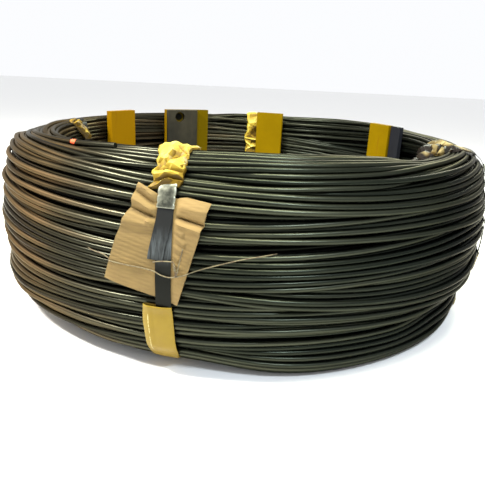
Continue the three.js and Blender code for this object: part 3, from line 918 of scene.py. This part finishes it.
def make_seal(side):
    """A folded clip over both layers of strap, nipped three times along each edge."""
    half = 0.5 * STRAP_WIDTH + 1.5
    outline = [(-half + 6, 0.35), (-half + 2, 0.4), (-half, 1.1), (-half - 0.3, 2.4), (-half + 0.9, 3.7),
               (-half + 4, 4.1), (-half + 9, 4.2), (0, 4.25)]
    outline += [(-across, lift) for across, lift in reversed(outline[:-1])]
    outline = np.array(outline)
    rows = np.linspace(0, 1, 37)[:, None]
    nips = np.maximum.reduce([np.exp(-((rows - place) / 0.045) ** 2) for place in NIPS])
    edge = smoothstep(np.abs(outline[:, 0]), half - 5, half - 1)
    across = outline[:, 0] * (1 - 0.07 * nips * edge)
    dents = 0.5 * np.sin(rows * 31 + 0.9 * outline[:, 0]) * (1 - edge) * (outline[:, 1] > 2)
    lift = outline[:, 1] - 0.8 * nips * edge * (outline[:, 1] > 2) + 0.35 * dents
    along = section.outside_at(SEAL_FOOT + rows * (SEAL_HEAD - SEAL_FOOT))
    places = on_coil(side, along, across + strap_lean(side, along), strap_lift(side, along) - 0.6 + lift)
    # painted highlight along the seal's edges and at its ends
    painted_edge_glint = 0.75 * edge[None] * np.ones(rows.shape) + 0.8 * smoothstep(np.abs(rows - 0.5), 0.44, 0.5)
    seal = thicken(grid_piece(f"seal_{side}", places, tone=np.clip(painted_edge_glint, 0, 1)), SEAL_WALL * MM)
    apply_modifier(seal, "SUBSURF", levels=1, render_levels=1)
    settle(seal, "strap_steel", f"seal_{side}", material=seal_finish)


# ---------- yellow plastic sleeves ----------
FILM = 0.5 * MM
HUG = 0.35  # how far the under face stands off the turns
OVER_STRAP = 2.9  # and the upper one at least, where the strap runs inside
UPPER_COLUMNS, UNDER_COLUMNS = 56, 14
PAINTED_LIGHT_WAY = np.array([-0.40, -0.16, 0.90])  # faces turned this way get the most painted light


def paint_light_by_facing(film, part):
    """Gives each face a number its finish reads as painted light: more where it faces the way the light
    falls from.
    """
    normals = np.empty(3 * len(film.data.polygons), np.float32)
    film.data.polygons.foreach_get("normal", normals)
    facing = film.data.attributes.new("facing", "FLOAT", "FACE")
    facing.data.foreach_set("value", (part * normals.reshape(-1, 3) @ PAINTED_LIGHT_WAY).astype(np.float32))


def film_tube(name, side, along, left, right, height, crumple, tone,
              slant=0.0, crown=0.55, facets=0.0):
    """A tube of film round a strap: its upper face runs from left to right, its under face back.

    Tone sets how pale it is; on faceted film its crumpled ridges are painted lighter and its hollows darker.
    Slant lowers its left side, in millimetres along for each across. A low crown gives steep sides. Facets
    is the share of its faces kept, flat, where it's crumpled.
    """
    over = 0.5 - 0.5 * np.cos(np.linspace(0, np.pi, UPPER_COLUMNS))
    under = 0.5 + 0.5 * np.cos(np.linspace(0, np.pi, UNDER_COLUMNS))[1:-1]
    crown = np.sin(np.pi * over) ** crown
    upper_across = left + (right - left) * over
    upper_lift = HUG + (height - HUG) * crown
    wrinkle, aside = crumple(upper_across, along * 1000)
    inside = 0.5 * STRAP_WIDTH + 0.5 - np.abs(upper_across - strap_lean(side, along))
    floor = OVER_STRAP * smoothstep(inside, -3, 1)
    base = strap_lift(side, along) - BARE_LIFT
    upper_lift = np.maximum(upper_lift + wrinkle * crown, floor) + base
    under_across = left + (right - left) * under
    under_lift = np.full(under_across.shape, HUG)
    across = np.concatenate([upper_across + aside * crown, under_across], 1)
    lift = np.concatenate([upper_lift, under_lift], 1)
    along = along - slant * np.maximum(-across - 4, 0) * MM
    places = on_coil(side, along, across, lift)
    tones = np.full((len(places), places.shape[1] + 1), 0.15)
    # painted light and shade: on faceted film the crumpled ridges are lighter and the hollows darker
    tones[:, :UPPER_COLUMNS] = tone + (0.5 * wrinkle / np.clip(height, 6, 14) if facets else 0)
    tube = grid_piece(name, places, closed_columns=True, tone=tones)
    if facets:
        apply_modifier(tube, "DECIMATE", ratio=facets)
        select_only(tube)
        bpy.ops.object.shade_flat()
    apply_modifier(tube, "SOLIDIFY", thickness=FILM, offset=0, use_even_offset=False)
    paint_light_by_facing(tube, 0.42 if facets else 0.08)
    return tube


LOW_SLEEVE_TOP = 172.0
LOW_TONE = 0.33
BORE_HALF_WIDTH = 30
PLAIN_EDGES = [(0, -30, 30), (60, -31, 31), (120, -32, 32), (174, -31, 31)]
LOW_EDGES = {  # (height, left edge, right edge) on the outside
    "front": [
        (0, -50, 13), (30, -48, 15), (52, -46, 18), (100, -47, 18), (137, -48, 17.5), (160, -46, 17),
        (174, -43, 16.5),
    ],
    "right": [(0, -32, 28), (40, -26, 30), (70, -13, 36), (120, -12, 38), (174, -12, 36)],
    "back": PLAIN_EDGES,
    "left": PLAIN_EDGES,
}


def make_low_sleeve(side, random):
    """Smooth tube from the bore, underneath and up the outside, tight at its foot and slack above."""
    start = section.nearest(BORE, LOW_SLEEVE_TOP) - section.length
    along = np.linspace(start, section.outside_at(LOW_SLEEVE_TOP), 110)[:, None]
    distance, height = section.at(along[:, 0]).T
    height = height / MM
    outside = smoothstep(distance, 0.58, OUTER_FACE)[:, None]
    edges = through(LOW_EDGES[side], height)
    left = edges[:, :1] * outside - BORE_HALF_WIDTH * (1 - outside)
    right = edges[:, 1:] * outside + BORE_HALF_WIDTH * (1 - outside)
    free = smoothstep(height, 12, 60)[:, None]
    rim = smoothstep(height, 150, 174)[:, None]
    seed = np.random.default_rng(random.integers(1e6))

    def crumple(across, along_mm):
        folds = creases(across, 0.45 * along_mm, seed, 3, 30, 70) * 1.1
        fine = creases(across, along_mm, seed, 3, 9, 20) * 0.35
        slack = 2.4 * smoothstep(-across, 20, 34)
        return (0.5 * folds + fine + slack) * free, 0 * across

    tall = OVER_STRAP + (2.4 + 1.2 * rim) * free
    sleeve = film_tube(f"sleeve_low_{side}", side, along, left, right, tall, crumple, LOW_TONE)
    settle(sleeve, "sleeve_plastic", f"sleeve_low_{side}")


# stops over the top: (distance, height), left edge, right edge, height of the folds, in millimetres
BUNCHES = {
    "front": [
        ((674, 406), -34, 20, 4), ((672, 410), -40, 23, 7), ((668, 415), -35, 24, 10),
        ((662, 420), -35, 24, 9), ((657, 425), -40, 24, 14), ((651, 429), -38, 23, 11),
        ((642, 434), -35, 23, 12), ((630, 440), -38, 24, 13), ((612, 446), -46, 19, 13),
        ((590, 450), -53, 15, 12), ((572, 450), -58, 14, 11), ((558, 449), -58, 19, 10),
        ((547, 441), -46, 22, 10), ((541, 424), -34, 22, 8), ((540, 412), -26, 18, 5),
    ],
    "back": [
        ((664, 412), -22, 20, 4), ((655, 424), -32, 24, 7), ((630, 439), -35, 25, 6),
        ((600, 449), -37, 24, 7), ((570, 450), -38, 22, 6), ((548, 443), -37, 20, 7),
        ((540, 420), -37, 18, 10), ((540, 380), -37, 19, 11), ((540, 358), -36, 29, 10),
        ((540, 340), -36, 20, 10), ((540, 302), -33, 22, 6),
    ],
    "right": [
        ((644, 432), -16, 10, 3), ((628, 441), -38, 16, 5), ((608, 447), -38, 26, 9),
        ((592, 450), -44, 36, 12), ((577, 450), -80, 42, 16), ((566, 450), -96, 44, 19),
        ((556, 449), -88, 44, 22), ((549, 446), -94, 42, 25), ((542, 438), -106, 42, 32),
        ((540, 424), -108, 36, 37), ((540, 406), -104, 30, 38), ((540, 388), -74, 22, 26),
        ((540, 374), -30, 16, 10),
    ],
    "left": [
        ((562, 449), 42, 64, 3), ((554, 447), 38, 76, 8), ((546, 441), 28, 78, 11),
        ((541, 428), 10, 66, 10), ((540, 413), -8, 50, 13), ((540, 400), -18, 36, 11),
        ((540, 388), -26, 20, 9), ((540, 380), -26, 10, 5),
    ],
}
# each fold's ends (across, and how far along from the sleeve's start), half width and height
BUNCH_FOLDS = {
    "front": [
        ((-36, 20), (26, 20), 4.5, 7), ((-26, 13), (28, 14), 2.4, -8), ((-14, 29), (20, 29), 2.2, -5),
        ((-24, 33), (-8, 40), 3, 4), ((-8, 40), (20, 35), 3, 4), ((-36, -5), (2, 10), 5, 7),
        ((-30, 5), (-12, 11), 2.2, -6), ((4, 78), (-8, 54), 7, -7), ((-16, 80), (-18, 52), 4, 4),
        ((-30, 50), (-25, 30), 5, -6), ((-20, 52), (-17, 38), 2, -5), ((12, 64), (22, 40), 4, 4),
        ((18, 44), (19, 37), 2.4, -4), ((-44, 104), (-30, 56), 6, 4), ((-30, 98), (6, 104), 5, 4),
        ((-2, 93), (16, 79), 3, -6), ((6, 101), (44, 92), 7, 4), ((8, 4), (24, 3), 4, -6),
    ],
    "back": [
        ((-30, 106), (22, 106), 4, 5), ((-34, 126), (4, 132), 7, -9), ((-34, 154), (16, 158), 11, 7),
        ((10, 170), (16, 196), 7, 7), ((-22, 186), (-2, 206), 9, -9), ((-34, 200), (-14, 214), 9, -9),
        ((-36, 226), (26, 220), 2.4, 9), ((-34, 238), (-2, 237), 5, -8), ((-34, 250), (-4, 252), 3, 9),
        ((-4, 252), (22, 234), 3, 9), ((-2, 252), (20, 272), 3, 8), ((-30, 264), (-10, 264), 6, -8),
        ((22, 250), (18, 262), 4, -6),
    ],
    "right": [
        ((-110, 60), (-30, 68), 4, -9), ((-104, 76), (-44, 70), 5, 5), ((-110, 88), (-24, 82), 3, -11),
        ((-106, 98), (-50, 100), 4, 4), ((-112, 106), (-20, 100), 4, -9), ((-112, 120), (-36, 112), 6, 5),
        ((-114, 128), (-10, 126), 3, -12), ((-110, 142), (-40, 138), 5, 4), ((-112, 156), (-20, 146), 5, -9),
    ],
    "left": [
        ((30, 14), (72, 22), 3, -6), ((46, 4), (30, 30), 3, 6), ((30, 36), (20, 50), 8, -5),
        ((22, 58), (6, 70), 8, 7), ((-16, 52), (-22, 74), 5, -7),
    ],
}
BUNCH_FACETS = 0.03
BUNCH_LOOKS = {  # tone, crown and slant: the right one is painted darkest, as shade
    "front": (0.17, 0.3, 0.30), "right": (-0.28, 0.3, 0.0),
    "back": (0.17, 0.45, 0.0), "left": (0.10, 0.45, 0.0),
}


def make_bunch(side, random):
    """Film bunched over the top: big facets, rolls across the strap and small sharp creases."""
    stops = [(section.nearest(*spot), *rest) for spot, *rest in BUNCHES[side]]
    places = np.linspace(stops[0][0], stops[-1][0], 128)
    left, right, height = (column[:, None] for column in through(stops, places).T)
    along = places[:, None]
    ends = smoothstep(along - places[0], 0, 0.012) * smoothstep(places[-1] - along, 0, 0.02)
    seed = np.random.default_rng(random.integers(1e6))
    hem = 2.2 * np.sin(along * 210 + seed.uniform(0, 6)) + 1.6 * np.sin(along * 95 + seed.uniform(0, 6))
    left, right = left + hem * ends, right + 0.6 * hem[::-1] * ends

    def crumple(across, along_mm):
        facets = creases(across, along_mm, seed, 3, 30, 56) * (2 + 0.6 * height)
        fine = creases(across, along_mm, seed, 3, 8, 15) * (0.6 + 0.1 * height)
        by_hand = folded(BUNCH_FOLDS[side], across, along_mm - along_mm[0]) * np.minimum(height / 10, 1)
        aside = creases(across, along_mm, seed, 2, 14, 30) * 5
        return (facets + fine + by_hand) * ends, aside * ends

    tone, crown, slant = BUNCH_LOOKS[side]
    # painted shade: the film is darker where it starts, down the outer face
    tone = tone - 0.24 * (1 - smoothstep(along - places[0], 0.004, 0.042))
    slant = slant * (1 - smoothstep(along - places[0], 0.006, 0.034))
    film = film_tube(f"sleeve_top_{side}", side, along, left, right, height, crumple, tone,
                     slant, crown, BUNCH_FACETS)
    settle(film, "sleeve_plastic", f"sleeve_top_{side}")


# ---------- the cardboard tag ----------
CARD_THICKNESS = 3.0
CARD_RISE = 13  # how far its edges stand off at most
# its edges by how far across from the strap, and height
CARD_LEFT = [(-121, 220), (-95, 306), (-81, 341), (-67, 368), (-65, 388), (-58, 404)]
CARD_RIGHT = [(28, 178), (76, 338), (89, 380)]
CARD_TOP = [(-58, 404), (-14, 388), (22, 385), (41, 388), (89, 380)]
CARD_FOLDS = [  # from, to, half width and height of each wrinkle
    ((-53, 400), (-14, 379), 5, 6), ((-60, 390), (-16, 366), 4, -6), ((-66, 378), (-20, 357), 6, 6),
    ((-72, 361), (-20, 346), 5, -9), ((-82, 338), (-22, 332), 9, 6), ((-34, 340), (-18, 333), 4, 6),
    ((-92, 318), (-22, 316), 9, -2), ((30, 370), (88, 364), 11, 8), ((24, 351), (80, 340), 4, -9),
    ((22, 340), (76, 330), 6, 7), ((20, 329), (38, 320), 4, 4), ((20, 316), (42, 303), 4, 3.5),
    ((18, 298), (37, 288), 4, 3), ((18, 280), (32, 272), 4, 2.4), ((20, 262), (36, 256), 4, 2),
]


def card_lift(across, height):
    """How far the card's middle stands off the turns: pinched by the strap, free at its edges."""
    pinched = 0.4 + 0.5 * CARD_THICKNESS
    left = CARD_RISE * smoothstep(-across, 16, 120)
    right = CARD_RISE * smoothstep(across, 16, 90) * (0.5 + 0.5 * smoothstep(height, 230, 340))
    slack = smoothstep(np.abs(across), 15, 30)
    flutes = 0.3 * np.sin((height * 0.96 + across * 0.27) * 2 * np.pi / 8.5)
    return pinched + left + right + (folded(CARD_FOLDS, across, height) + 1.5 + flutes) * slack


def along_line(stops, part):
    stops = np.array(stops, float)
    travelled = np.concatenate([[0], np.cumsum(np.hypot(*np.diff(stops[:, :2], axis=0).T))])
    return np.stack([np.interp(part * travelled[-1], travelled, column) for column in stops.T], -1)


def make_card():
    """A sheet between four listed edges, wrinkled where the strap pulls on it."""
    part = np.linspace(0, 1, 110)[:, None, None]
    way = np.linspace(0, 1, 120)[None, :, None]
    left, right = along_line(CARD_LEFT, part[..., 0]), along_line(CARD_RIGHT, part[..., 0])
    top = along_line(CARD_TOP, way[..., 0])
    foot = along_line([CARD_LEFT[0], CARD_RIGHT[0]], way[..., 0])
    foot_left, foot_right = np.array(CARD_LEFT[0], float), np.array(CARD_RIGHT[0], float)
    top_left, top_right = np.array(CARD_LEFT[-1], float), np.array(CARD_RIGHT[-1], float)
    flat = (1 - way) * left + way * right + (1 - part) * foot + part * top
    flat -= (1 - part) * ((1 - way) * foot_left + way * foot_right)
    flat -= part * ((1 - way) * top_left + way * top_right)
    across, height = flat[..., 0], flat[..., 1]
    places = on_coil("front", section.outside_at(height), across, card_lift(across, height))
    card = thicken(grid_piece("cardboard_tag", places), CARD_THICKNESS * MM)
    settle(card, "kraft_card", "cardboard_tag")


# ---------- the tie wire ----------
TIE_THICKNESS = 2.4
# (across, height, how far off what it lies on): left to right, under a knot beside the strap
TIE_RUN = [
    (-190, 268, -12), (-175, 265, -5), (-163, 263, 0), (-148, 262, 2), (-130, 260, 2), (-114, 257, 2),
    (-80, 253, 2), (-48, 250, 2), (-16, 246, 3), (-4, 240, 3), (10, 237, 3), (22, 238, 3), (30, 241, 3.4),
    (44, 245, 3), (62, 253, 3), (80, 260, 4), (100, 267, 4), (119, 273, 3), (147, 281, 1), (166, 285, 0),
    (184, 288, -2), (198, 290, -6), (212, 292, -12),
]
TIE_LOOP = [
    (30, 243, 4), (26, 248, 6), (28, 254, 4.5), (24, 259, 6.5), (25, 265, 4.5), (20, 269, 3.5),
    (8, 268.5, 3), (-6, 267, 3), (-17, 264.5, 3.2), (-20.5, 263, 1.5), (-18, 262, 0.5),
]
TIE_TWIST = [(32, 240, 4), (25, 242, 5), (30, 248, 6), (24, 253, 4.5), (28, 259, 6), (22, 264, 4.5)]
TIE_END = [(28, 243, 5), (31, 250, 5), (33, 262, 5), (36, 276, 5), (40, 290, 6), (41, 297, 7)]


def under_tie(across, height):
    """How far the outside of whatever the tie wire crosses stands off the turns."""
    on_card = across > np.interp(height, [220, 306], [-122, -96])
    on_card &= across < np.interp(height, [178, 338], [28, 76])
    card = (card_lift(across, height) + 0.5 * CARD_THICKNESS) * on_card
    strap = strap_lift("front", section.outside_at(height)) + STRAP_THICKNESS
    under = np.maximum(card, np.where(np.abs(across) < 19, strap, 0))
    eased = np.convolve(np.pad(under, 4, "edge"), np.full(9, 1 / 9), "valid")
    return np.maximum(under, eased)


def bent_wire(name, runs, thickness):
    """Round wire bent along smooth runs of points, with closed ends."""
    curve = bpy.data.curves.new(name, "CURVE")
    curve.dimensions = "3D"
    curve.bevel_depth = 0.5 * thickness * MM
    curve.bevel_resolution = 2
    curve.use_fill_caps = True
    for points in runs:
        spline = curve.splines.new("NURBS")
        spline.points.add(len(points) - 1)
        spline.points.foreach_set("co", np.column_stack([points, np.ones(len(points))]).ravel())
        spline.order_u = 4
        spline.use_endpoint_u = True
        spline.resolution_u = 6
    piece = bpy.data.objects.new(name, curve)
    bpy.context.collection.objects.link(piece)
    select_only(piece)
    bpy.ops.object.convert(target="MESH")
    bpy.ops.object.shade_smooth_by_angle(angle=math.radians(50))
    return bpy.context.object


def make_tie_wire():
    runs = []
    for stops in (TIE_RUN, TIE_LOOP, TIE_TWIST, TIE_END):
        across, height, off = along_line(stops, np.linspace(0, 1, 4 * len(stops))).T
        runs.append(on_coil("front", section.outside_at(height), across, under_tie(across, height) + off))
    settle(bent_wire("tie_wire", runs, TIE_THICKNESS), "tie_wire_steel", "tie_wire")


# ---------- the free end of the wire ----------
# (azimuth, distance, height) from where it leaves the other turns to its cut end on the inner rim
FREE_END = [
    (184, 612, 415), (190, 610, 425), (197, 607, 433), (205, 604, 440), (214, 602, 445), (223, 604, 449),
    (232, 608, 452), (238, 604, 455), (243.5, 600, 458),
]


def make_free_end():
    azimuth, distance, height = np.array(FREE_END).T
    route = in_space(np.stack([distance, height], 1) * MM, azimuth)
    piece = bent_wire("wire_free_end", [route], 2 * WIRE_RADIUS / MM)
    give_shade(piece, "turn", np.full(len(piece.data.vertices), 0.4))
    settle(piece, "wire_steel", "wire_coil", material=marked_wire())


# ---------- the boards and bars, and the floor ----------
FLOOR_SIZE = 40


def dress_cad_nodes():
    """The boards and bars keep their own shapes, so every node gets its slot's finish."""
    slots = {entry["node"]: entry["material_slot"] for entry in frame["record"]["subparts"]}
    for name, node in frame["nodes"].items():
        node.data.materials.clear()
        node.data.materials.append(materials[slots[name]])


def add_floor():
    bpy.ops.object.select_all(action="DESELECT")
    bpy.ops.mesh.primitive_plane_add(size=FLOOR_SIZE)
    floor = bpy.context.object
    floor.name = "floor"
    paint = Paint("floor")
    floor.data.materials.append(paint.finish((0.86, 0.86, 0.85), 0.6, Specular_IOR_Level=0.1))


# ---------- the whole coil ----------
set_camera()
set_lights()
wind_the_coil()
sleeve_random = np.random.default_rng(21)
for side in SIDES:
    make_strap(side, sleeve_random)
    make_seal(side)
    make_low_sleeve(side, sleeve_random)
    make_bunch(side, sleeve_random)
make_card()
make_tie_wire()
make_free_end()
dress_cad_nodes()
add_floor()
